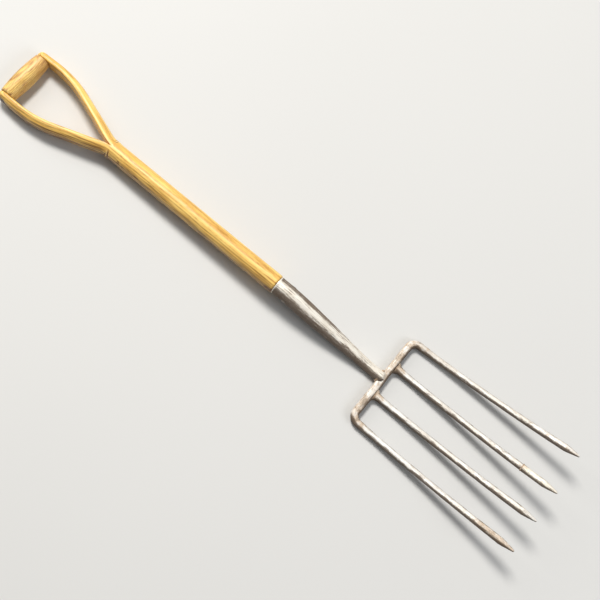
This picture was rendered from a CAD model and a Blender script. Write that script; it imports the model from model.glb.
from math import atan2, cos, degrees, hypot, pi, radians, sin, sqrt

import bmesh
import bpy
import numpy as np
from mathutils import Matrix, Vector, noise


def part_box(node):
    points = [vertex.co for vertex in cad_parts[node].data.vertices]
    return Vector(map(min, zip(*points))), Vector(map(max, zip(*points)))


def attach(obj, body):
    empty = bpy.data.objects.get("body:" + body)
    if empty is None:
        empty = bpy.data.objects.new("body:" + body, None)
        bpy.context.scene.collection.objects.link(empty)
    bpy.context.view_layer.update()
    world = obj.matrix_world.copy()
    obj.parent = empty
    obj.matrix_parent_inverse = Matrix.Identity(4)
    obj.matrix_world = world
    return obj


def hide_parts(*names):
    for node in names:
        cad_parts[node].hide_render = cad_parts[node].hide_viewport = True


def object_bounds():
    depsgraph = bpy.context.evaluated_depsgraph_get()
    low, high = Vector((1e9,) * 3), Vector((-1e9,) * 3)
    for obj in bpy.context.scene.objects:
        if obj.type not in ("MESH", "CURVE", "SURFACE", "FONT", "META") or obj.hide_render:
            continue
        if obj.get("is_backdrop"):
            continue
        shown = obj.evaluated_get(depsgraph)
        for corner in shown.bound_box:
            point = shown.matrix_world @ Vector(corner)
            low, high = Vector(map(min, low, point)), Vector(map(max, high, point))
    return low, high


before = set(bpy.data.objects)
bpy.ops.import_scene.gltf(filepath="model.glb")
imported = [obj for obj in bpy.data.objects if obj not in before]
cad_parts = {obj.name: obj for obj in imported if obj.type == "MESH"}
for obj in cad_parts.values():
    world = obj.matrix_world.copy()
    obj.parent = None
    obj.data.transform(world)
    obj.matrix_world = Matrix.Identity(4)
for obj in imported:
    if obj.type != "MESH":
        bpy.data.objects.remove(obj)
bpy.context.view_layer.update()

# The visual model of the digging fork. Shapes are worked out in the handle's own frame, in
# millimetres: X from the middle of the grip towards the tine points, Y across the head, Z out of
# the front. HANDLE takes that frame to the scene's, where the fork lies on its back.

MM = 0.001


def middle_of(node):
    low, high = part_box(node)
    return (low + high) / 2


def handle_frame():
    """The grip's middle and the throat rivet's middle both lie on the handle's axis."""
    origin = middle_of("barrel_grip")
    along = (middle_of("throat_rivet") - origin).normalized()
    across = Vector((0, 1, 0))
    turn = Matrix((along, across, along.cross(across))).transposed().to_4x4()
    return Matrix.Translation(origin) @ turn @ Matrix.Scale(MM, 4)


HANDLE = handle_frame()


def span(node):
    """Lowest and highest corner of a CAD node in the handle's frame, in millimetres."""
    to_handle = HANDLE.inverted()
    points = np.array([to_handle @ v.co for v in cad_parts[node].data.vertices])
    return Vector(points.min(0)), Vector(points.max(0))


# ------------ driving dimensions, millimetres

# A profile is rows of distance along and radius, but TINE_SIZES goes by shares of a tine's length.

GRIP_LOW, GRIP_HIGH = span("barrel_grip")
ROVE_LOW, ROVE_HIGH = span("grip_rod_roves")

GRIP_HALF = (GRIP_HIGH.y - GRIP_LOW.y) / 2
GRIP_RADIUS = (GRIP_HIGH.z - GRIP_LOW.z) / 2
GRIP_END_RADIUS = 13.2
GRIP_EDGE = 2
ROVE_RADIUS = 7.5
ROVE_THICKNESS = 1.2
ROVE_HOLE = 3  # radius

SHAFT_RADIUS = 15.5
SHAFT_END_RADIUS = 15.8
THROAT_X = 187  # the crotch, where the split starts
SHOULDER_X = 520  # where the ash meets the lip of the socket
SHOULDER = [(0, 13.4), (0, 14.7), (0.25, 15.2), (0.8, 15.55), (1.8, 15.72), (3.2, 15.8)]
YOKE_ANGLE = 19.5  # how far an arm leans out, in degrees
LOWER_BEND_RADIUS = 71
UPPER_BEND_RADIUS = 188
ARM_THROAT = 15.1  # thickness of an arm at the throat
ARM_MIDDLE = {1: 13.4, -1: 15.2}  # by side: 1 is the left arm, -1 the right
ARM_END = {1: 9.8, -1: 11}
ARM_DEPTH = 29.8
ARM_END_DEPTH = 25
ARM_END_ROUND = 8  # rounding of the outside of an arm behind the grip
ARM_END_EASE = 1.5  # and of its inner face there
ARM_SPARE = 1  # how far an arm's path runs on past its end
ARM_LEAD, ARM_TAIL = 9, 4  # how far past each end of its path an arm's taper is counted

MOUTH_X = span("socket")[0].x
SOCKET_RADII = [(0, 14.5), (45, 14.9), (80, 14.1), (115, 12.6), (150, 10.6), (182, 9.3)]
LIP = [(-0.15, 12.9), (-0.2, 14.4), (0.05, 14.95), (0.6, 15.2), (1.5, 15.15), (3, 14.85), (5, 14.6)]
SOCKET_STRAIGHT = 6
SOCKET_BEND_RADIUS = 180
SOCKET_BEND_ANGLE = 11
SOCKET_MIDDLE_RUN = 136.5
NECK_RUN = 10
NECK_RADIUS = 9.5
NECK_END_RUN = 7.5  # length of the neck's rounded end
NECK_END_REACH = 3.2  # how far that end runs past the end of the socket's path
NECK_END_DROP = 3.2  # how far its tip is hammered down towards the crossbar
TAIL_RADII = [(0, 12.3), (50, 11.9), (100, 10.1), (145, 7.5)]
EMPTY_SOCKET_DEPTH = 6
BORE_BOTTOM_RADIUS = 4
BORE_CLEARANCE = 0.25

BAR = 13
BAR_EXTRA = {1: -0.5, -1: 0.9}  # the left half of the crossbar is the thinner one
BAR_EDGE = 3.4  # rounding of the crossbar, and of the beads round the tines
TINE_EDGE = 4.3  # rounding of the worn tines
CROSSBAR_BACK = 3  # how far the crossbar's middle lies behind the neck's
OUTER_PITCH = 159.2
INNER_PITCH = 55.4
ROOT_DEPTH = 1  # how far the inner tines are let into the crossbar
FLARE_RUN, FLARE_WIDTH = 10, 12  # where an inner tine spreads into the crossbar
CORNER_RADIUS = 13
TINE_RISE = 15  # turn of its curve towards the front, in degrees
POINT_LENGTH = 25
POINT_END = 3.2
POINT_EDGE = 2.8
POINT_FULLNESS = 0.92  # below 1 the sides of the point bulge
BLUNT_RUN = 1.6  # the last of the point, rounded off by wear
TINE_SIZES = [(0, 12), (0.12, 10.6), (0.55, 10.2), (1, 11.4)]
TINE_LENGTH = {"outer_left": 311, "inner_left": 316, "inner_right": 315.5, "outer_right": 315}
# how far each tine leans out, in degrees
SPLAY_OUT = {"outer_left": 2.6, "inner_left": -0.5, "inner_right": 0.3, "outer_right": 1.35}
SIDE = {"outer_left": 1, "inner_left": 1, "inner_right": -1, "outer_right": -1}
REPAIR_PLACE = 0.79  # share of the left inner tine's length


# ------------ paths

def trace(start, heading, pieces):
    """Points about a millimetre apart along a plane curve.

    heading, in degrees, is from the first axis towards the second. pieces are runs and arcs, each a
    length and a turn in degrees.
    """
    x, y = start
    points, angle = [(x, y)], radians(heading)
    for length, turn in pieces:
        count = max(1, round(length))
        ds, da = length / count, radians(turn) / count
        for _ in range(count):
            x += ds * cos(angle + da / 2)
            y += ds * sin(angle + da / 2)
            angle += da
            points.append((x, y))
    return np.array(points)


class Path:
    """A polyline with its running length, and level frames along it."""

    def __init__(self, points):
        self.points = np.asarray(points, float)
        steps = np.linalg.norm(np.diff(self.points, axis=0), axis=1)
        self.lengths = np.concatenate([[0], np.cumsum(steps)])
        self.length = self.lengths[-1]
        tangents = np.gradient(self.points, self.lengths, axis=0)
        self.tangents = tangents / np.linalg.norm(tangents, axis=1)[:, None]

    def at(self, distance):
        """Position, and unit vectors along, level across and up, at a distance from the start."""
        def along(values):
            return np.array([np.interp(distance, self.lengths, column) for column in values.T])

        tangent = along(self.tangents)
        tangent /= np.linalg.norm(tangent)
        across = np.cross(tangent, (0, 0, 1))
        across /= np.linalg.norm(across)
        return along(self.points), tangent, across, np.cross(across, tangent)


def stations(low, high, step):
    count = max(2, round(abs(high - low) / step) + 1)
    return np.linspace(low, high, count)


def smooth(value, low, high):
    """0 below low, 1 above high, and an even ramp between them."""
    share = min(1.0, max(0.0, (value - low) / (high - low)))
    return share * share * (3 - 2 * share)


def table(value, rows):
    """A value read off rows of (place, value), by straight lines."""
    return float(np.interp(value, [row[0] for row in rows], [row[1] for row in rows]))


def rumple(point, size, seed):
    """Smooth noise from about -1 to 1 that varies over a size in millimetres."""
    return noise.fractal(Vector(point) / size + Vector((seed * 7.3, seed * 3.1, seed)), 1.0, 2.0, 3)


def stretched(grain, across, along):
    """Grain coordinates for noise that is drawn out along the grain."""
    return grain[0] * across, grain[1] * across, grain[2] * along


def turns_round(count):
    return np.linspace(0, 2 * pi, count, endpoint=False)


def rounded_off(run, radius):
    """How far a rounded edge has fallen away, a run past its start."""
    return radius - sqrt(radius ** 2 - min(max(0.0, run), radius) ** 2)


# ------------ shells

def placed(name, data):
    """A new object in the scene."""
    made = bpy.data.objects.new(name, data)
    bpy.context.scene.collection.objects.link(made)
    return made


class Shell:
    """The skin of one piece: points in the handle's frame, with grain coordinates and marks."""

    def __init__(self):
        self.points, self.grain, self.marks, self.faces = [], [], [], []

    def ring(self, points, grain, marks=None):
        """Adds a row of points and gives back their numbers."""
        first = len(self.points)
        self.points += [tuple(p) for p in points]
        self.grain += [tuple(g) for g in grain]
        self.marks += list(marks) if marks is not None else [(0.0, 0.0, 0.0)] * len(points)
        return list(range(first, first + len(points)))

    def bridge(self, first, second):
        for k in range(len(first)):
            after = (k + 1) % len(first)
            self.faces.append((first[k], first[after], second[after], second[k]))

    def skin(self, rings):
        for first, second in zip(rings, rings[1:]):
            self.bridge(first, second)

    def cap(self, ring):
        """Closes a ring with a small inner ring and a flat middle."""
        points, grain = (np.array([rows[k] for k in ring]) for rows in (self.points, self.grain))
        points, grain = (rows * 0.4 + rows.mean(0) * 0.6 for rows in (points, grain))
        inner = self.ring(points, grain, [self.marks[k] for k in ring])
        self.bridge(ring, inner)
        self.faces.append(tuple(inner))

    def close(self, rings):
        """Skins a row of rings and caps both ends."""
        self.skin(rings)
        self.cap(rings[0])
        self.cap(rings[-1])

    def build(self, name, slot, node, material, relief, sharp_degrees=40):
        """Makes the finished piece. relief gives each point's rise along its normal, in millimetres."""
        mesh = bpy.data.meshes.new(name)
        mesh.from_pydata([HANDLE @ Vector(p) for p in self.points], [], self.faces)
        work = bmesh.new()
        work.from_mesh(mesh)
        bmesh.ops.recalc_face_normals(work, faces=work.faces)
        work.to_mesh(mesh)
        work.free()
        rises = np.array([relief(point, grain) for point, grain in zip(self.points, self.grain)])
        places, normals = (np.zeros(len(rises) * 3) for _ in range(2))
        mesh.vertices.foreach_get("co", places)
        mesh.vertices.foreach_get("normal", normals)
        mesh.vertices.foreach_set("co", places + normals * np.repeat(rises * MM, 3))
        for label, values in (("grain", self.grain), ("marks", self.marks)):
            layer = mesh.attributes.new(label, "FLOAT_VECTOR", "POINT")
            layer.data.foreach_set("vector", np.array(values, np.float32).ravel())
        mesh.polygons.foreach_set("use_smooth", [True] * len(mesh.polygons))
        mesh.set_sharp_from_angle(angle=radians(sharp_degrees))
        mesh.materials.append(material)
        piece = placed(name, mesh)
        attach(piece, "root")
        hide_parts(node)


def place_section(frame_at, section):
    """Puts section points, (across, up) in millimetres, into the plane of a path's frame."""
    position, _, across, up = frame_at
    return [position + across * a + up * b for a, b in section]


# ------------ ash shaft and its two arms

HALF_COUNT = 46  # steps round half of the shaft
FLAT_COUNT = 14  # steps across the flat inner face of an arm
ARC_COUNT = 12  # steps round a corner
STEP = 1.6  # between the rings of a long piece
FINE_STEP, FINE_RUN = 0.6, 12.0  # finer for this run on each side of the throat


def socket_path():
    bend = SOCKET_BEND_RADIUS * radians(SOCKET_BEND_ANGLE)
    pieces = [(SOCKET_STRAIGHT, 0), (bend, -SOCKET_BEND_ANGLE), (SOCKET_MIDDLE_RUN, 0),
              (bend, SOCKET_BEND_ANGLE), (NECK_RUN, 0)]
    return Path([(x, 0, z) for x, z in trace((MOUTH_X, 0), 0, pieces)])


def arm_path(side):
    """The inner face of an arm, from the crotch to the end behind the grip."""
    lean = radians(YOKE_ANGLE)
    bends = (LOWER_BEND_RADIUS + UPPER_BEND_RADIUS) * (1 - cos(lean))
    straight = (GRIP_HALF - bends) / sin(lean)
    pieces = [(LOWER_BEND_RADIUS * lean, -YOKE_ANGLE), (straight, 0),
              (UPPER_BEND_RADIUS * lean, YOKE_ANGLE)]
    line = trace((THROAT_X, 0), 180, pieces)
    last = line[-1]
    tip = [(x, last[1]) for x in stations(last[0] - 1, -ARM_END_DEPTH / 2 - ARM_SPARE, 1)]
    return Path([(x, side * y, 0) for x, y in [*line, *tip]])


def resample(outline, count):
    """The same open outline with count even steps."""
    outline = np.array(outline)
    lengths = np.concatenate([[0], np.cumsum(np.linalg.norm(np.diff(outline, axis=0), axis=1))])
    places = np.linspace(0, lengths[-1], count + 1)
    return np.column_stack([np.interp(places, lengths, outline[:, k]) for k in (0, 1)])


def arc(centre, radius, low, high):
    turns = np.radians(np.linspace(low, high, ARC_COUNT + 1))
    return [(centre[0] + radius * cos(t), centre[1] + radius * sin(t)) for t in turns]


def arm_outline(thickness, depth, inner_edge, outer_edge):
    """The rounded outside of an arm, from the front of its flat inner face to the back."""
    half = depth / 2
    front = arc((inner_edge, half - inner_edge), inner_edge, 180, 90)
    front += arc((thickness - outer_edge, half - outer_edge), outer_edge, 90, 0)
    return resample(front + [(a, -b) for a, b in reversed(front)], HALF_COUNT)


def half_circle(radius):
    turns = np.linspace(0, pi, HALF_COUNT + 1)
    return np.column_stack([radius * np.sin(turns), radius * np.cos(turns)])


def whole_circle(radius):
    left = half_circle(radius)
    return [*left, *[(-a, b) for a, b in left[-2:0:-1]]]


def arm_section(side, distance, x, path):
    """Sizes for arm_outline some way up an arm from the crotch, and how far its face is set in."""
    share = (distance + ARM_LEAD) / (path.length + ARM_LEAD + ARM_TAIL)
    middle, end = ARM_MIDDLE[side], ARM_END[side]
    thickness = table(share, [(0.08, ARM_THROAT), (0.3, (ARM_THROAT + middle) / 2), (0.55, middle),
                              (0.8, (middle + end) / 2), (1, end)])
    depth = ARM_DEPTH + (ARM_END_DEPTH - ARM_DEPTH) * share
    inner_edge = 0.35 + 2.6 * smooth(share, 0.02, 0.3)
    inset = 0.0
    if x < 0:
        depth = 2 * sqrt(max(0.01, ARM_END_DEPTH ** 2 / 4 - x * x))
        past = -ARM_END_DEPTH / 2 - x
        thickness -= rounded_off(past + ARM_END_ROUND, ARM_END_ROUND)
        inset = rounded_off(past + ARM_END_EASE, ARM_END_EASE)
        inner_edge = min(inner_edge, depth / 2 - 0.05)
    outer_edge = min(thickness - inner_edge, depth / 2) - 0.05
    return thickness - inset, depth, inner_edge, outer_edge, inset


# Dark flecks in the ash: place along the handle, angle round it from the front (left is positive),
# length, width in degrees, and depth of colour.
FLECKS = [
    (206.4, -58.3, 3.4, 13, 1), (204.9, -9.4, 4.5, 6, 0.5), (384.2, -8.9, 3.6, 6, 0.5),
    (216, -66, 4, 6, 0.5), (227, -52, 6, 4, 0.45), (243, -60, 8, 4, 0.4),
    (298, -52, 16, 3, 0.45), (352, -46, 20, 3, 0.5), (407, -38, 22, 2.5, 0.4),
    (455, -55, 14, 4, 0.45), (268, -34, 20, 2.5, 0.35), (330, 150, 6, 9, 0.5),
    (440, 120, 4, 6, 0.4), (120, -60, 9, 4, 0.4), (84, -35, 12, 4, 0.35),
]

# Where the bent fibres buckled, on the outside of the bend, and the pale ridges beside those creases:
# depth, side, angles from the front over which it fades in, place from CREASE_X, its lean for each
# degree, how it wanders, and half-widths of its middle and of the whole.
CREASE_X = THROAT_X - 3.3
CREASES = [
    (1.0, -1, (26, 50), -2.0, 0.05, 1, (0.7, 2.0)), (0.85, -1, (50, 68), 1.3, -0.09, 1, (0.9, 2.3)),
    (0.4, -1, (62, 78), -4.2, -0.09, 1, (0.7, 2.0)), (0.5, 1, (28, 48), -4.5, 0, -1, (0.5, 1.4)),
    (0.7, 1, (28, 48), -0.6, 0, 1, (0.5, 1.4)),
]
RIDGES = [(0.5, -1, (26, 50), -4.9, 0.05, 1, (0.4, 1.3)), (0.7, 1, (28, 48), -2.4, 0, 0, (0.5, 1.6))]
CREASED_RUN = 18.0


def bands(rows, x, angle, wander):
    """Depth at a point of the ash of the creases or of the ridges."""
    total = 0.0
    for depth, side, fade, place, lean, sway, width in rows:
        middle = CREASE_X + place + lean * side * angle + sway * wander
        total += depth * smooth(side * angle, *fade) * (1 - smooth(abs(x - middle), *width))
    return total


def ash_marks(across, up, along):
    """Stain, crease and pale ridge at a point of the ash, from 0 to 1. along is from the shoulder."""
    angle = degrees(atan2(across, up))
    right = -angle
    x = SHOULDER_X - along
    wander = 0.8 * rumple((across, up, 0), 9, 4)
    flank = 0.25 * smooth(right, 12, 38) + 0.45 * smooth(right, 46, 90)
    arm = 0.25 * smooth(THROAT_X - x, 0, 30) * smooth(right, 20, 60)
    above_lip = 0.9 * smooth(right, 48, 78) * smooth(-along, -17, -6 + 4 * wander)
    at_lip = 0.5 * smooth(-along, -2.6, -0.4)
    stain = flank + arm + above_lip + at_lip
    for place, turn, length, width, depth in FLECKS:
        reach = hypot((x - place) / length, (angle - turn) / width)
        stain += depth * (1 - smooth(reach, 0.35, 1))
    crease = ridge = 0.0
    if abs(x - THROAT_X) < CREASED_RUN:
        crotch = hypot((x - CREASE_X + 2) / 4.5, angle / 20)
        crease = bands(CREASES, x, angle, wander)
        ridge = bands(RIDGES, x, angle, wander) + 0.5 * (1 - smooth(crotch, 0.3, 1))
    return min(1.0, stain), min(1.0, crease), min(1.0, ridge)


def ash_relief(point, grain):
    """Hand-shaved unevenness, the buckled fibres at the throat and the raised grain."""
    across, up, along = grain
    if along < -0.2:  # the tail in the socket is plain
        return 0.0
    _, crease, ridge = ash_marks(across, up, along)
    shaved = 0.13 * rumple(stretched(grain, 1, 0.16), 12, 1) * smooth(along, 0, 12)
    fibres = 0.05 * rumple(stretched(grain, 2.2, 0.03), 2.4, 2)
    place = SHOULDER_X - along - THROAT_X
    swollen = 0.75 * smooth(abs(across), 9, 15) * smooth(place, -16, -6) * (1 - smooth(place, -3, 5))
    rise = shaved + fibres + swollen + 0.2 * ridge - 0.8 * crease
    x, y, z = point
    if hypot(x, z) < ROVE_RADIUS + 0.2 and abs(y) > GRIP_HALF + ROVE_THICKNESS:
        face = ROVE_HIGH.y if y > 0 else -ROVE_LOW.y
        rise = min(rise, face - 0.6 - abs(y))  # let in for the rove
    return rise


def ash_shaft(material):
    shell = Shell()
    tail_path = socket_path()

    def add(points, grain):
        return shell.ring(points, grain, [ash_marks(*g) for g in grain])

    def full_ring(x, radius):
        section = whole_circle(radius)
        return add([(x, a, b) for a, b in section], [(a, b, SHOULDER_X - x) for a, b in section])

    def tail_ring(distance, radius):
        section = whole_circle(radius)
        points = place_section(tail_path.at(distance), [(-a, b) for a, b in section])
        return add(points, [(a, b, -distance - 1) for a, b in section])

    # the tapered end in the socket, the shoulder, and the shaft up to the throat
    rings = [tail_ring(d, table(d, TAIL_RADII)) for d in stations(TAIL_RADII[-1][0], 0, 6)]
    shell.cap(rings[0])
    rings += [full_ring(SHOULDER_X - back, radius) for back, radius in SHOULDER]
    fine_from = THROAT_X + FINE_RUN
    coarse = stations(SHOULDER_X - SHOULDER[-1][0] - 1.4, fine_from, STEP)
    for x in [*coarse, *stations(fine_from - FINE_STEP, THROAT_X, FINE_STEP)]:
        share = (SHOULDER_X - x) / (SHOULDER_X - THROAT_X)
        rings.append(full_ring(x, SHAFT_END_RADIUS + (SHAFT_RADIUS - SHAFT_END_RADIUS) * share))
    shell.skin(rings)

    # the crotch line, which both arms share
    throat = rings[-1]
    heights = np.linspace(-SHAFT_RADIUS, SHAFT_RADIUS, FLAT_COUNT + 1)[1:-1]
    crotch = add([(THROAT_X, 0, b) for b in heights], [(0, b, SHOULDER_X - THROAT_X) for b in heights])
    halves = {1: throat[:HALF_COUNT + 1], -1: [throat[0], *throat[:HALF_COUNT - 1:-1]]}

    for side in (1, -1):
        path = arm_path(side)
        previous = halves[side] + crotch
        end_run = path.length - ARM_SPARE - ARM_END_DEPTH / 2
        turns = np.radians(np.linspace(4, 87, 18))
        behind = [end_run + ARM_END_DEPTH / 2 * sin(t) for t in turns]
        fine = stations(0.5, FINE_RUN, FINE_STEP)
        for distance in [*fine, *stations(FINE_RUN + 1, end_run, STEP), *behind]:
            place = path.at(distance)
            *sizes, inset = arm_section(side, distance, place[0][0], path)
            blend = smooth(distance, 0, 10)  # from half of the shaft to the arm's own section
            own = arm_outline(*sizes) + (inset, 0)
            outline = half_circle(SHAFT_RADIUS) * (1 - blend) + own * blend
            face, half = outline[0]
            flat = [(face, b) for b in np.linspace(-half, half, FLAT_COUNT + 1)[1:-1]]
            section = [(side * a, b) for a, b in [*outline, *flat]]
            run = SHOULDER_X - THROAT_X + distance
            ring = add(place_section(place, section), [(a, b, run) for a, b in section])
            shell.bridge(previous, ring)
            previous = ring
        shell.cap(previous)
    shell.build("ash_shaft_and_arms", "ash", "ash_shaft", material, ash_relief)


# ------------ turned and riveted pieces

def lathe(shell, centre, profile, count, out=1, marks_at=None):
    """Rings of a turned shape about Y. profile counts its distances along from centre, away to out."""
    rings = []
    for along, radius in profile:
        grain = [(radius * cos(t), radius * sin(t), along) for t in turns_round(count)]
        points = [(centre[0] + a, centre[1] + out * along, centre[2] + b) for a, b, _ in grain]
        rings.append(shell.ring(points, grain, [marks_at(*g) for g in grain] if marks_at else None))
    return rings


def grip_marks(x, z, along):
    """Dirt towards the arms and on the side away from the head, and the pinker end by the left arm."""
    ends = 0.5 * smooth(abs(along), GRIP_HALF - 7, GRIP_HALF)
    away = 0.45 * smooth(-x, 7, 15)
    pink = smooth(along, 2, 30) * (0.75 + 0.25 * rumple((x, z, along), 12, 15))
    return min(1.0, ends + away), pink, 0.0


def barrel_grip(material):
    shell = Shell()
    sagitta = GRIP_RADIUS - GRIP_END_RADIUS
    curve = (GRIP_HALF ** 2 + sagitta ** 2) / (2 * sagitta)
    profile = []
    for y in stations(-GRIP_HALF, GRIP_HALF, 1.1):
        radius = GRIP_RADIUS - curve + sqrt(curve ** 2 - y * y)
        profile.append((y, radius - rounded_off(GRIP_EDGE - GRIP_HALF + abs(y), GRIP_EDGE)))
    shell.close(lathe(shell, (0, 0, 0), profile, count=96, marks_at=grip_marks))

    def relief(point, grain):
        worn = 0.12 * rumple(stretched(grain, 1, 0.4), 13, 5)
        turned = 0.03 * sin(grain[2] * 2.1 + 2 * rumple(point, 20, 6))
        fibres = 0.05 * rumple(stretched(grain, 2, 0.12), 2.6, 7)
        return (worn + turned + fibres) * smooth(GRIP_HALF - abs(grain[2]), 0, 3)

    shell.build("barrel_grip_turned", "grip_wood", "barrel_grip", material, relief)


def riveted_pin(name, node, material, shank, head, head_height):
    """A pin right through, with a hammered dome at each end."""
    low, high = span(node)
    seat = (high.y - low.y) / 2 - head_height
    turns = np.radians([8, 24, 40, 56, 72, 90])
    dome = [(seat + head_height * cos(t), head / 2 * sin(t)) for t in turns]
    profile = [*dome, (seat - 0.05, shank / 2 + 0.2), (seat - 0.4, shank / 2)]
    profile += [(-along, radius) for along, radius in reversed(profile)]
    shell = Shell()
    shell.close(lathe(shell, (low + high) / 2, profile, count=40))

    def relief(point, grain):
        outer = smooth(abs(grain[2]), seat - 0.3, seat + 0.3)
        return -0.14 * outer * (1 + rumple(point, head * 0.3, 8))

    shell.build(name, "rivet_iron", node, material, relief, sharp_degrees=30)


def grip_rod_roves(material):
    """The two washers under the rod's heads, a little dished by the riveting."""
    shell = Shell()
    radius, back = ROVE_RADIUS, -ROVE_THICKNESS
    profile = [(0.0, ROVE_HOLE), (-0.02, 5.0), (-0.1, radius - 0.6), (-0.35, radius - 0.1),
               (back + 0.3, radius), (back, radius - 0.3), (back, ROVE_HOLE)]
    for side, face in ((1, ROVE_HIGH.y), (-1, ROVE_LOW.y)):
        rings = lathe(shell, (0, face, 0), profile, count=56, out=side)
        shell.skin([*rings, rings[0]])

    def relief(point, grain):
        return -0.05 * (1 + rumple(point, 3, 9))

    shell.build("grip_rod_roves_dished", "rivet_iron", "grip_rod_roves", material, relief)


# ------------ socket

AROUND = 72  # steps round the socket


def circle(radius):
    return [(radius * sin(t), radius * cos(t)) for t in turns_round(AROUND)]


def socket_marks(a, b, distance, length):
    """Tan rust and dark patina on the socket: bright along the front, with streaked brown flanks."""
    angle = -degrees(atan2(a, b))  # from the front, left positive
    past_rim = smooth(distance, 0.4, 2.4)
    neck = smooth(distance, 70, 190)
    middle = 23 * neck  # the bright band drifts to the left down the neck
    right = smooth(middle - angle, 6, 48 + 18 * neck)
    left = smooth(angle - middle, 10, 36) * (1 - 0.85 * neck)
    worn = 0.14 + 0.1 * rumple(stretched((a, b, distance), 1, 0.2), 9, 16)
    at_joint = smooth(distance, length - 10, length + 6)
    near_mouth = past_rim * (1 - smooth(distance, 14, 36)) * smooth(abs(angle), 30, 70)
    return 0.12 + 0.3 * near_mouth + 0.35 * at_joint, past_rim * max(right, left, worn), 0.0


def socket(material):
    path = socket_path()
    shell = Shell()

    def add(points, section, distance):
        marks = [socket_marks(a, b, distance, path.length) for a, b in section]
        return shell.ring(points, [(a, b, distance) for a, b in section], marks)

    def ring(distance, radius):
        section = circle(radius)
        return add(place_section(path.at(distance), section), section, distance)

    # the bore, from its bottom out to the mouth, and the lip, which is drawn thin and flares a little
    tail_end = TAIL_RADII[-1][0]
    bottom = tail_end + EMPTY_SOCKET_DEPTH
    rings = [ring(bottom, BORE_BOTTOM_RADIUS)]
    rings += [ring(d, table(d, TAIL_RADII) + BORE_CLEARANCE) for d in stations(tail_end, 0, 8)]
    rings += [ring(max(0.0, d), radius) for d, radius in LIP]
    last = path.length + NECK_END_REACH - NECK_END_RUN
    outside = [*SOCKET_RADII, (path.length, NECK_RADIUS)]
    rings += [ring(d, table(d, outside)) for d in stations(LIP[-1][0] + STEP, last, STEP)]
    # the rounded end of the neck over the crossbar, hammered down towards it
    end, tangent, across, up = path.at(last)
    for turn in np.radians(np.arange(10, 90, 12)):
        reach = NECK_END_RUN * sin(turn)
        section = circle(NECK_RADIUS * cos(turn))
        centre = end + tangent * reach - up * NECK_END_DROP * (1 - cos(turn))
        rings.append(add(place_section((centre, tangent, across, up), section), section, last + reach))
    shell.close(rings)

    def relief(point, grain):
        if hypot(grain[0], grain[1]) < table(grain[2], TAIL_RADII) + 0.6 and grain[2] < bottom:
            return 0.0  # the bore is plain
        forged = 0.26 * rumple(stretched(grain, 1, 0.4), 10, 11)
        streaks = 0.13 * rumple(stretched(grain, 2.4, 0.06), 4.2, 12) * smooth(grain[2], 2, 8)
        pits = 0.16 * smooth(rumple(stretched(grain, 1, 0.5), 2.2, 13), 0.24, 0.6)
        return (forged + streaks) * smooth(grain[2], 0, 6) - pits - 0.1

    shell.build("socket_and_neck", "forged_steel", "socket", material, relief, sharp_degrees=50)


# ------------ head

CORNER_STEPS = 6  # round each corner of the bar's section
SIDE_STEPS = 5  # and along each of its sides
TINE_STEPS = 320  # along the line of a tine
BAR_STEP = 1.3  # between the rings of a bar
POINT_STEP = 1.2


def rounded_square(size, edge):
    """Points round a square section of the bar, with its corners rounded."""
    half = size / 2
    section = []
    for quarter in range(4):
        corner = arc((half - edge, half - edge), edge, 0, 90)[::ARC_COUNT // CORNER_STEPS]
        low, high = np.array(corner[-1]), np.array((-(half - edge), half))
        between = [tuple(low + (high - low) * k / SIDE_STEPS) for k in range(1, SIDE_STEPS)]
        turn = radians(90 * quarter)
        section += [(a * cos(turn) - b * sin(turn), a * sin(turn) + b * cos(turn))
                    for a, b in corner + between]
    return section


def neck_end():
    return Vector(socket_path().points[-1])


CROSSBAR = neck_end() - Vector((0, 0, CROSSBAR_BACK))


def tine_line(name, root_x):
    """Centre line of a tine: a shallow arc towards the front, leaning out by its splay."""
    side, pitch = SIDE[name], OUTER_PITCH if name.startswith("outer") else INNER_PITCH
    lean, turn = radians(SPLAY_OUT[name]), radians(TINE_RISE)
    radius = (TINE_LENGTH[name] - root_x) / turn
    points = []
    for angle in np.linspace(0, turn, TINE_STEPS):
        out, rise = radius * sin(angle), radius * (1 - cos(angle))
        points.append((CROSSBAR.x + root_x + out * cos(lean),
                       side * (pitch / 2 + out * sin(lean)), CROSSBAR.z + rise))
    return points


def inner_path(name):
    """The path of an inner tine, and its length without the point."""
    path = Path(tine_line(name, BAR / 2 - ROOT_DEPTH))
    return path, path.length - POINT_LENGTH


def outer_line(name):
    """Centre lines from the middle of the crossbar round its corner, and down the outer tine."""
    side, full = SIDE[name], 90 - SPLAY_OUT[name]
    straight = OUTER_PITCH / 2 - CORNER_RADIUS * sin(radians(full))
    bar = trace((0, 0), 90, [(straight, 0), (CORNER_RADIUS * radians(full), -full)])
    bend = [(CROSSBAR.x + x, side * y, CROSSBAR.z) for x, y in bar]
    return bend, tine_line(name, bar[-1][0])


def tine_size(share):
    return table(share, TINE_SIZES)


def steel_marks(point, outward, rust, patina):
    """Tan rust and dark patina at a point of the head. The front is rubbed bright, the sides are not."""
    mottle = rumple(point, 11, 21)
    x, y, z = outward
    side = max(smooth(-y, 0.05, 0.85), 0.6 * smooth(y, 0.5, 1.0), 0.75 * smooth(-z, 0.1, 0.8),
               0.85 * smooth(x, 0.25, 0.9))
    dark = side * (0.7 + 0.5 * patina + 0.2 * mottle) + 0.22 * patina * (1 + mottle)
    return min(1.0, max(0.0, rust * (0.85 + 0.5 * mottle))), min(1.0, max(0.0, dark)), 0.0


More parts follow.
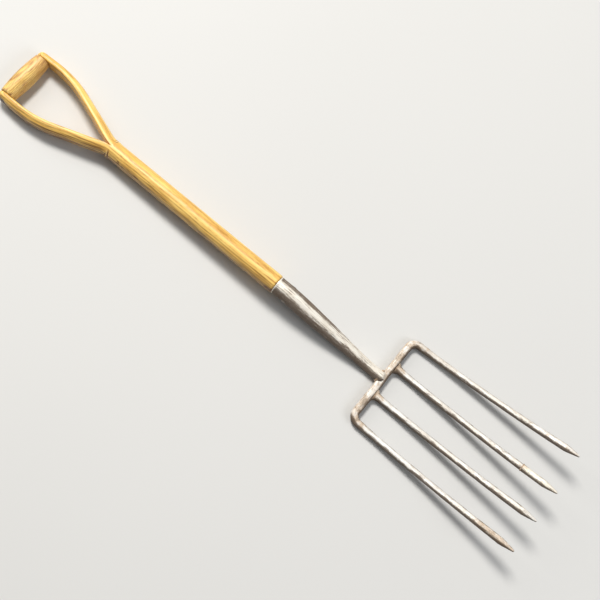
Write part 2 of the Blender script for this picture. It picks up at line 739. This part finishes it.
def bar_ring(shell, path, distance, size, rust, patina, edge=TINE_EDGE, spread=0.0):
    """One section of forged bar. spread widens it across, as where a tine flares into its joint."""
    section = [(a * (1 + spread / size), b) for a, b in rounded_square(size, min(edge, size * 0.4))]
    frame_at = path.at(distance)
    points = place_section(frame_at, section)
    marks = []
    for point, (a, b) in zip(points, section):
        outward = frame_at[2] * a + frame_at[3] * b
        marks.append(steel_marks(point, outward / np.linalg.norm(outward), rust, patina))
    return shell.ring(points, [(a, b, distance) for a, b in section], marks)


def point_rings(shell, path, size, rust, patina, at_start=False):
    """The drawn point, from its shoulder to its blunt end, or the other way round at a path's start."""
    rings = []
    for run in stations(POINT_LENGTH, 0, POINT_STEP):
        share = run / POINT_LENGTH
        taper = POINT_END + (size - POINT_END) * share ** POINT_FULLNESS
        taper -= 0.8 * POINT_END * rounded_off(1 - run / BLUNT_RUN, 1)
        place = run if at_start else path.length - run
        edge = POINT_EDGE + (TINE_EDGE - POINT_EDGE) * smooth(share, 0.6, 1)
        rings.append(bar_ring(shell, path, place, taper, rust, patina, edge))
    return rings[::-1] if at_start else rings


def finish_bar(shell, rings, name, slot, node, material, seed, depth=0.13):
    """Closes a forged bar, with soft hammer flats of a depth in millimetres and a few pits."""
    def relief(point, grain):
        soft = depth * rumple((point[0] * 0.5, point[1] * 0.5, point[2]), 9, seed)
        pits = 0.16 * smooth(rumple(point, 2.2, seed + 1), 0.26, 0.6)
        return soft - pits - 0.12

    shell.close(rings)
    shell.build(name, slot, node, material, relief, sharp_degrees=50)


def crossbar_bow(material):
    bar_left, tine_left = outer_line("outer_left")
    bar_right, tine_right = outer_line("outer_right")
    path = Path([*tine_left[:0:-1], *bar_left[:0:-1], *bar_right, *tine_right[1:]])
    tine = {1: Path(tine_left).length, -1: Path(tine_right).length}
    corner = {1: tine[1], -1: path.length - tine[-1]}

    def look(distance):
        """Size, rust and patina."""
        from_middle = distance - path.length / 2
        side = 1 if from_middle < 0 else -1
        out = side * (corner[side] - distance)  # past the corner, down the tine
        if out < 0:
            extra = BAR_EXTRA[side] * smooth(-out, 8, 34) * smooth(abs(from_middle), 0, 10)
            root = TINE_SIZES[0][1]
            size = root + (BAR + extra - root) * smooth(-out, 0, 16)
            return size, 0.8 - 0.15 * smooth(-out, 10, 60), 1.0
        share = out / (tine[side] - POINT_LENGTH)
        at_corner = 0.7 * (1 - smooth(out, 3, 34))
        at_tip = smooth(share, 0.66, 0.95) * (0.85 if side == -1 else 0.4)
        return tine_size(share), max(at_corner, at_tip, 0.12), 0.4 + 0.2 * smooth(share, 0.3, 0.9)

    shell = Shell()
    rings = point_rings(shell, path, *look(POINT_LENGTH), at_start=True)
    for distance in stations(POINT_LENGTH, path.length - POINT_LENGTH, BAR_STEP)[1:-1]:
        rings.append(bar_ring(shell, path, distance, *look(distance)))
    rings += point_rings(shell, path, *look(path.length - POINT_LENGTH))
    finish_bar(shell, rings, "crossbar_and_outer_tines", "forged_steel", "crossbar_bow", material, seed=31)


def inner_tine(name, node, material, patina, last_share=None):
    """An inner tine, flared where it meets the crossbar, and rusty there. patina is at its root and
    further down. The left one stops at the repair, at last_share of its length."""
    path, bar_length = inner_path(name)
    end = last_share * path.length if last_share else bar_length
    root, further = patina
    shell = Shell()
    rings = []
    for distance in [*stations(0, 9, 0.8), *stations(10, end, BAR_STEP)]:
        flare = max(0.0, 1 - distance / FLARE_RUN) ** 2.2
        size = tine_size(distance / bar_length) + 0.8 * flare
        rust = max(1 - smooth(distance, 5, 26), 0.15)
        dark = root + (further - root) * smooth(distance, 30, 130)
        rings.append(bar_ring(shell, path, distance, size, rust, dark, spread=FLARE_WIDTH * flare))
    if not last_share:
        rings += point_rings(shell, path, tine_size(1), rust=0.2, patina=0.3)[1:]
    finish_bar(shell, rings, name + "_tine", "forged_steel", node, material, seed=41 + SIDE[name])


def repaired_point(material):
    path, bar_length = inner_path("inner_left")
    start = REPAIR_PLACE * path.length
    shell = Shell()
    rings = []
    for distance in stations(start, bar_length, BAR_STEP):
        near = 1 - smooth(distance - start, 0, 24)  # thicker and rustier by the weld
        size = tine_size(distance / bar_length) + 0.5 * near
        rings.append(bar_ring(shell, path, distance, size, 0.15 + 0.4 * near, 0.25 + 0.25 * near))
    rings += point_rings(shell, path, tine_size(1), rust=0.15, patina=0.2)[1:]
    finish_bar(shell, rings, "welded_tine_point", "repair_steel", "repaired_tine_point", material,
               seed=51, depth=0.12)


# ------------ weld metal

WELD_MARKS = (0.7, 0.35, 0)


def bead(shell, ring, radius_at, seed, count=14):
    """A lumpy closed bead of weld metal along a ring of points, with count steps round it."""
    ring = np.array(ring)
    middle = ring.mean(0)
    rows = []
    for k, place in enumerate(ring):
        tangent = ring[(k + 1) % len(ring)] - ring[k - 1]
        tangent /= np.linalg.norm(tangent)
        outward = place - middle
        outward -= tangent * outward.dot(tangent)
        outward /= np.linalg.norm(outward)
        third = np.cross(tangent, outward)
        points = []
        for t in turns_round(count):
            direction = outward * cos(t) + third * sin(t)
            lump = 1 + 0.3 * rumple(place + direction * 2, 3.4, seed) + 0.12 * sin(k * 1.15 + seed)
            points.append(place + direction * radius_at(place) * lump)
        rows.append(shell.ring(points, points, [WELD_MARKS] * count))
    shell.skin([*rows, rows[0]])


def finish_weld(shell, name, node, material):
    def relief(point, grain):
        return 0.14 * rumple(point, 1.5, 61)

    shell.build(name, "weld_metal", node, material, relief, sharp_degrees=60)


def square_ring(centre, across, up, size):
    return place_section((centre, None, across, up), rounded_square(size, BAR_EDGE))


def tine_welds(material):
    """A bead round the root of each inner tine, thick at its sides and thin in front and behind."""
    shell = Shell()
    low = CROSSBAR.z - BAR / 2
    for side in (1, -1):
        centre = np.array((CROSSBAR.x + BAR / 2, side * INNER_PITCH / 2, CROSSBAR.z))
        wide, up = np.array((0, 1.22, 0)), np.array((0, 0, 1))  # wider across, as the root is flared

        def radius_at(p):
            off_back = smooth(p[2], low + 2, low + 5)
            front = 0.8 * smooth(p[2], CROSSBAR.z + 3, CROSSBAR.z + 5.5)
            return (0.3 + 1.7 * off_back * (1 - front)) * (1.15 if p[1] > centre[1] else 0.95)

        bead(shell, square_ring(centre, wide, up, TINE_SIZES[0][1]), radius_at, seed=62 + side)
    finish_weld(shell, "inner_tine_weld_beads", "inner_tine_welds", material)


def neck_weld(material):
    """A bead that dips inside the neck at the front and the back, so weld shows only at its sides."""
    centre = np.array((CROSSBAR.x - BAR / 2 - 0.5, 0, neck_end().z - 2))
    ring = []
    for t in turns_round(60):
        front, back = 2.5 * smooth(cos(t), 0.5, 0.92), 4.0 * smooth(-cos(t), 0.4, 0.95)
        out = NECK_RADIUS + 0.1 - front - back
        ring.append(centre + (0, out * sin(t), out * cos(t)))

    def radius_at(p):
        return 0.8 + (1.6 if p[1] > 0 else 1.1) * smooth(abs(p[1]), 1, 6)

    shell = Shell()
    bead(shell, ring, radius_at, seed=66)
    finish_weld(shell, "neck_weld_bead", "neck_weld", material)


def repair_weld(material):
    path, bar_length = inner_path("inner_left")
    start = REPAIR_PLACE * path.length
    position, _, across, up = path.at(start)
    ring = square_ring(position, across, up, tine_size(start / bar_length) - 0.4)
    shell = Shell()
    bead(shell, ring, lambda p: 1.0, seed=69, count=10)
    finish_weld(shell, "tine_repair_bead", "tine_repair_weld", material)


# ------------ materials

class Graph:
    """Short ways to wire up one material's nodes."""

    def __init__(self, name):
        self.material = bpy.data.materials.new(name)
        self.material.use_nodes = True
        self.tree = self.material.node_tree
        self.tree.nodes.clear()
        output = self.node("ShaderNodeOutputMaterial", {})
        self.shader = self.node("ShaderNodeBsdfPrincipled", {})
        self.tree.links.new(self.shader.outputs[0], output.inputs[0])

    def node(self, kind, inputs, **settings):
        made = self.tree.nodes.new(kind)
        for key, value in settings.items():
            setattr(made, key, value)
        for key, value in inputs.items():
            self.feed(made.inputs[key], value)
        return made

    def feed(self, socket, value):
        if isinstance(value, bpy.types.NodeSocket):
            self.tree.links.new(value, socket)
        else:
            socket.default_value = (*value, 1.0) if socket.type == "RGBA" else value

    def attribute(self, name):
        return self.node("ShaderNodeAttribute", {}, attribute_name=name).outputs["Vector"]

    def part(self, vector, axis):
        return self.node("ShaderNodeSeparateXYZ", {"Vector": vector}).outputs[axis]

    def scaled(self, grain, across, along, shift=(0.0, 0.0, 0.0)):
        """The grain coordinates with a period in millimetres across the grain and along it."""
        scale = (1 / across, 1 / across, 1 / along)
        made = self.node("ShaderNodeMapping", {"Vector": grain, "Location": shift, "Scale": scale})
        return made.outputs[0]

    def noise(self, vector, detail=3.0, roughness=0.55):
        made = self.node("ShaderNodeTexNoise", {"Vector": vector, "Scale": 1.0, "Detail": detail,
                                                "Roughness": roughness})
        return made.outputs["Fac"]

    def math(self, operation, first, second, clamp=False):
        made = self.node("ShaderNodeMath", {0: first, 1: second}, operation=operation, use_clamp=clamp)
        return made.outputs[0]

    def times(self, first, second, clamp=False):
        return self.math("MULTIPLY", first, second, clamp)

    def span(self, value, low, high, to_low=0.0, to_high=1.0):
        """value from low to high becomes an even ramp from to_low to to_high."""
        inputs = {"Value": value, "From Min": low, "From Max": high, "To Min": to_low, "To Max": to_high}
        return self.node("ShaderNodeMapRange", inputs, interpolation_type="SMOOTHSTEP").outputs["Result"]

    def mix(self, share, first, second):
        made = self.node("ShaderNodeMix", {"Factor": share}, data_type="RGBA")
        self.feed(made.inputs[6], first)
        self.feed(made.inputs[7], second)
        return made.outputs[2]

    def over(self, colour, mask, strength, tint, clamp=False):
        """colour under a tint that is laid over it as far as the mask times its strength."""
        return self.mix(self.times(mask, strength, clamp), colour, tint)

    def bump(self, height, distance, strength):
        inputs = {"Height": height, "Distance": distance, "Strength": strength}
        return self.node("ShaderNodeBump", inputs).outputs[0]

    def finish(self, **inputs):
        for key, value in inputs.items():
            self.feed(self.shader.inputs[key.replace("_", " ")], value)
        return self.material


STAIN = (0.16, 0.062, 0.017)
PALE_RIDGE = (0.96, 0.8, 0.5)
DULL_LINES = (0.4, 0.31, 0.22)


def wood(name, pale, middle, dark, pore, second, second_share, shift, spacing, wave, along, gloss, coat):
    """Ash under old oil: growth rings with open pores, long fibres, stain and dirt.

    second is the colour that the piece's second mark brings in. shift moves the pith away from the
    piece. spacing is between growth rings in millimetres, wave how far they sway in rings, along how
    long the figure is, and gloss the least roughness.
    """
    g = Graph(name)
    grain = g.attribute("grain")
    marks = g.attribute("marks")
    sway = g.noise(g.scaled(grain, 30, along * 9, shift), 2)
    centred = g.node("ShaderNodeVectorMath", {0: g.scaled(grain, 1, 900), 1: shift}, operation="ADD")
    distance = g.node("ShaderNodeVectorMath", {0: centred.outputs[0]}, operation="LENGTH")
    rings = g.math("ADD", g.math("DIVIDE", distance.outputs["Value"], spacing), g.times(sway, wave))
    phase = g.math("FRACT", rings, 0)
    early = g.times(g.span(phase, 0.0, 0.15), g.span(phase, 0.6, 0.25))
    fibres = g.noise(g.scaled(grain, 1.5, along * 2.6), 4, 0.65)
    streaks = g.noise(g.scaled(grain, 3.0, along * 3.6, shift), 3, 0.6)
    pores = g.noise(g.scaled(grain, 0.5, along * 0.35), 2, 0.5)
    blotches = g.noise(g.scaled(grain, 13, along * 3), 3)
    open_pores = g.times(g.span(pores, 0.55, 0.66), g.math("ADD", g.times(early, 0.8), 0.2))

    colour = g.mix(g.span(blotches, 0.3, 0.7), middle, pale)
    colour = g.over(colour, early, g.span(streaks, 0.35, 0.62, 0.3, 1.0), dark, True)
    colour = g.over(colour, g.span(fibres, 0.48, 0.64), 0.6, dark)
    colour = g.over(colour, g.span(streaks, 0.6, 0.7), 0.7, pore)
    colour = g.over(colour, open_pores, 0.6, pore)
    colour = g.over(colour, g.part(marks, "X"), g.span(streaks, 0.37, 0.63, 0.15, 1.8), STAIN, True)
    colour = g.over(colour, g.part(marks, "Y"), second_share, second, True)
    colour = g.over(colour, g.part(marks, "Z"), 0.45, PALE_RIDGE, True)

    roughness = g.math("ADD", g.span(blotches, 0.3, 0.7, gloss, gloss + 0.12), g.times(open_pores, 0.25))
    normal = g.bump(g.math("SUBTRACT", g.times(fibres, 0.5), open_pores), 0.00014, 0.6)
    return g.finish(Base_Color=colour, Roughness=roughness, Normal=normal, Coat_Weight=coat,
                    Coat_Roughness=0.36, Specular_IOR_Level=0.4)


def steel(name, bright, dull, tan, brown, shift, streak, contrast=1.4):
    """Bare forged steel: rubbed bright, with brown patina and pits, and tan rust at the joints.

    The first mark of a piece is its tan rust and the second its patina. streak is the length in
    millimetres of the drawn lines, and contrast how strongly they break up the patina.
    """
    g = Graph(name)
    grain = g.attribute("grain")
    marks = g.attribute("marks")
    spots = g.noise(g.scaled(grain, 4, 5.5, shift), 5, 0.7)
    fine = g.noise(g.scaled(grain, 1.3, 2.0, shift), 5, 0.65)
    drawn = g.noise(g.scaled(grain, 2.0, streak, shift), 3, 0.6)
    broad = g.noise(g.scaled(grain, 10, 26, shift), 3)
    grit = g.noise(g.scaled(grain, 2.2, 3.2, shift), 4, 0.65)

    rusty = g.span(g.math("ADD", g.part(marks, "X"), g.times(spots, 2.2)), 1.3, 2.0)
    ragged = g.math("ADD", g.times(drawn, contrast), g.times(grit, 0.9))
    even = 0.5 * (contrast + 0.9)  # what ragged comes to on average
    brownish = g.span(g.math("ADD", g.part(marks, "Y"), ragged), even + 0.18, even + 0.82)
    pitted = g.math("ADD", g.times(g.part(marks, "Y"), 0.22), g.times(g.part(marks, "X"), 0.15))
    pits = g.span(g.math("ADD", pitted, fine), 0.69, 0.82)

    colour = g.mix(g.span(broad, 0.3, 0.7), dull, bright)
    colour = g.over(colour, g.span(drawn, 0.48, 0.64), 0.34, DULL_LINES)
    colour = g.over(colour, rusty, 0.75, tan)
    colour = g.over(colour, brownish, 0.88, brown)
    colour = g.over(colour, pits, 0.6, brown)

    covered = g.math("MAXIMUM", g.times(rusty, 0.6), g.math("MAXIMUM", brownish, pits))
    metal = g.math("SUBTRACT", 0.34, g.times(covered, 0.3), True)
    roughness = g.math("ADD", g.span(fine, 0.3, 0.7, 0.46, 0.6), g.times(covered, 0.3))
    height = g.math("SUBTRACT", g.times(fine, 0.6), g.math("MAXIMUM", pits, brownish))
    normal = g.bump(height, 0.0002, 0.7)
    return g.finish(Base_Color=colour, Metallic=metal, Roughness=roughness, Normal=normal)


ASH = wood(
    "ash_oiled", pale=(0.97, 0.68, 0.2), middle=(0.9, 0.56, 0.13), dark=(0.62, 0.31, 0.06),
    pore=(0.3, 0.12, 0.025), second=(0.11, 0.03, 0.015), second_share=0.95, shift=(23, 41, 0.3),
    spacing=2.9, wave=1.4, along=16, gloss=0.38, coat=0.3)
GRIP_WOOD = wood(
    "grip_ash_handled", pale=(0.9, 0.63, 0.19), middle=(0.8, 0.5, 0.125), dark=(0.5, 0.25, 0.055),
    pore=(0.3, 0.12, 0.035), second=(0.62, 0.32, 0.13), second_share=0.5, shift=(-31, 52, 4.3),
    spacing=2, wave=4, along=7, gloss=0.4, coat=0.2)
SOCKET_STEEL = steel(
    "forged_steel_drawn", bright=(0.95, 0.9, 0.81), dull=(0.82, 0.75, 0.64), tan=(0.74, 0.56, 0.38),
    brown=(0.1, 0.062, 0.036), shift=(3, 8, 1), streak=24, contrast=2.1)
FORGED = steel(
    "forged_steel_worn", bright=(0.9, 0.88, 0.84), dull=(0.74, 0.69, 0.62), tan=(0.58, 0.43, 0.29),
    brown=(0.105, 0.07, 0.043), shift=(23, 1, 4), streak=14)
REPAIR = steel(
    "repair_steel_worn", bright=(0.94, 0.9, 0.8), dull=(0.84, 0.78, 0.67), tan=(0.72, 0.54, 0.36),
    brown=(0.13, 0.09, 0.055), shift=(13, 2, 6), streak=12)
WELD = steel(
    "weld_metal_rusted", bright=(0.7, 0.59, 0.48), dull=(0.5, 0.39, 0.29), tan=(0.5, 0.32, 0.19),
    brown=(0.14, 0.08, 0.045), shift=(1, 5, 9), streak=4)
IRON = steel(
    "rivet_iron_dull", bright=(0.3, 0.26, 0.22), dull=(0.18, 0.15, 0.13), tan=(0.26, 0.13, 0.07),
    brown=(0.07, 0.04, 0.025), shift=(7, 1, 2), streak=4)


# ------------ the pieces

ash_shaft(ASH)
barrel_grip(GRIP_WOOD)
riveted_pin("grip_rod_peened", "grip_rod", IRON, shank=6.0, head=9.6, head_height=1.8)
grip_rod_roves(IRON)
riveted_pin("throat_rivet_peened", "throat_rivet", IRON, shank=3.2, head=5.0, head_height=0.8)
socket(SOCKET_STEEL)
riveted_pin("socket_rivet_peened", "socket_rivet", IRON, shank=5.0, head=8.4, head_height=1.1)
crossbar_bow(FORGED)
inner_tine("inner_left", "inner_tine_left", FORGED, patina=(0.7, 0.6), last_share=REPAIR_PLACE)
inner_tine("inner_right", "inner_tine_right", FORGED, patina=(0.4, 0.65))
repaired_point(REPAIR)
tine_welds(WELD)
neck_weld(WELD)
repair_weld(WELD)


# ------------ floor, light and camera

FLOOR_REACH = 6.0  # metres
LIT_POINT = Vector((520.0, 0.0, 0.0))
SOFTBOX_SIZE = 1.5  # metres
# name, direction from LIT_POINT in the handle's frame, distance in millimetres, watts, colour
SOFTBOXES = [
    ("key_softbox", (-0.42, 0.32, 0.85), 5500, 305, (1.0, 0.98, 0.94)),
    ("side_softbox", (-0.85, 0.12, 0.5), 3000, 26, (1.0, 0.98, 0.95)),
    ("fill_softbox", (0.8, 0.1, 0.6), 3000, 28, (0.95, 0.97, 1.0)),
]
SKY, SKY_STRENGTH = (0.93, 0.96, 1.0, 1), 0.15
LENS, SENSOR = 66.0, 36.0  # millimetres
CAMERA_PLACE, CAMERA_AIM = Vector((703.0, -434.3, 1639.9)), Vector((563.1, 4.6, 0.0))
CAMERA_TURN = 40.78  # degrees from the handle's axis to the picture's level line
CAMERA_RANGE = 0.05, 50  # metres


def floor(height):
    """A plain pale floor under the lowest point of the fork, in metres."""
    g = Graph("studio_floor")
    speckle = g.noise(g.node("ShaderNodeTexCoord", {}).outputs["Object"], 2)
    colour = g.mix(speckle, (0.63, 0.625, 0.61), (0.67, 0.665, 0.65))
    material = g.finish(Base_Color=colour, Roughness=0.8)
    mesh = bpy.data.meshes.new("floor")
    corners = [(x * FLOOR_REACH, y * FLOOR_REACH, 0) for x, y in ((-1, -1), (1, -1), (1, 1), (-1, 1))]
    mesh.from_pydata(corners, [], [(0, 1, 2, 3)])
    mesh.materials.append(material)
    plane = placed("floor", mesh)
    plane.location.z = height
    plane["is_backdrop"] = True


def soft_light(name, direction, distance, power, colour):
    data = bpy.data.lights.new(name, "AREA")
    data.size = SOFTBOX_SIZE
    data.energy = power
    data.color = colour
    lamp = placed(name, data)
    start, end = HANDLE @ (LIT_POINT + Vector(direction).normalized() * distance), HANDLE @ LIT_POINT
    lamp.location = start
    lamp.rotation_euler = (end - start).to_track_quat("-Z", "X").to_euler()


def camera():
    """Above the head and a little to the right of the fork, which lies from corner to corner."""
    data = bpy.data.cameras.new("camera")
    data.lens, data.sensor_width = LENS, SENSOR
    data.clip_start, data.clip_end = CAMERA_RANGE
    eye = placed("camera", data)
    place, aim = HANDLE @ CAMERA_PLACE, HANDLE @ CAMERA_AIM
    forward = (aim - place).normalized()
    turn = radians(CAMERA_TURN)
    level = HANDLE.to_3x3() @ Vector((cos(turn), sin(turn), 0))
    right = (level - forward * level.dot(forward)).normalized()
    axes = Matrix((right, right.cross(forward), -forward)).transposed()
    eye.matrix_world = Matrix.Translation(place) @ axes.to_4x4()
    bpy.context.scene.camera = eye


floor(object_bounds()[0][2])
for softbox in SOFTBOXES:
    soft_light(*softbox)
camera()

world = bpy.data.worlds.new("studio")
world.use_nodes = True
background = world.node_tree.nodes["Background"]
background.inputs["Color"].default_value = SKY
background.inputs["Strength"].default_value = SKY_STRENGTH
bpy.context.scene.world = world
bpy.context.scene.view_settings.view_transform = "Standard"
